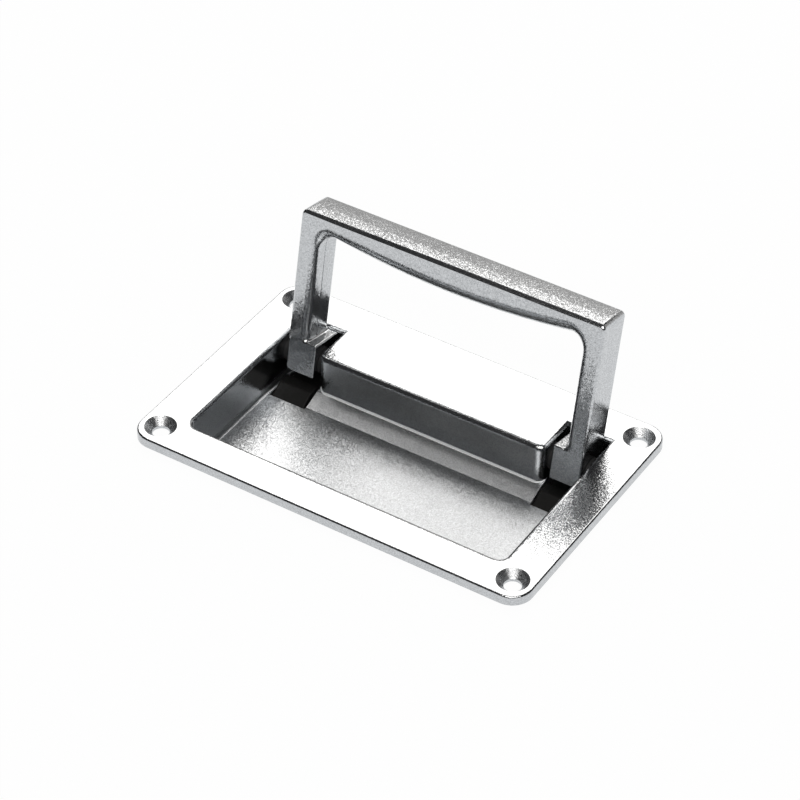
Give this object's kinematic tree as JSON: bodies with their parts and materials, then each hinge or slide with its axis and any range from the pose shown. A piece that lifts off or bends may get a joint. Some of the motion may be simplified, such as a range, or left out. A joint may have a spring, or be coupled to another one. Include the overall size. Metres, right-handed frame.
{
  "type": "recessed folding handle",
  "caption": "Recessed folding handle: a metal bail swings on pins and folds flush into a flanged rectangular tray with countersunk screw holes.",
  "frame": {"origin": "centre of the screw pattern, on the back face of the flange", "axes": "+X along the long side of the flange, -Y towards the side that the bail folds to, +Z out of the panel"},
  "size_m": [0.14, 0.09, 0.0643],
  "materials": {
    "tray_metal": "bright satin plating on a zinc die casting",
    "bail_metal": "bright satin plating on a zinc die casting, with a fine grain",
    "pin_steel": "ground steel",
    "washer_nylon": "matt black nylon",
    "buffer_rubber": "matt black moulded rubber"
  },
  "bodies": {
    "tray": {"tray": "tray_metal", "pin_left": "pin_steel", "pin_right": "pin_steel", "washer_left_outer": "washer_nylon", "washer_left_inner": "washer_nylon", "washer_right_inner": "washer_nylon", "washer_right_outer": "washer_nylon", "buffer_left": "buffer_rubber", "buffer_right": "buffer_rubber"},
    "bail": {"bail": "bail_metal"}
  },
  "joints": [
    {"name": "bail_fold", "type": "hinge", "parent": "tray", "child": "bail", "pos_m": [0, 0.02355, -0.0041], "axis": [1, 0, 0], "range_deg": [0, 101.5]}
  ]
}
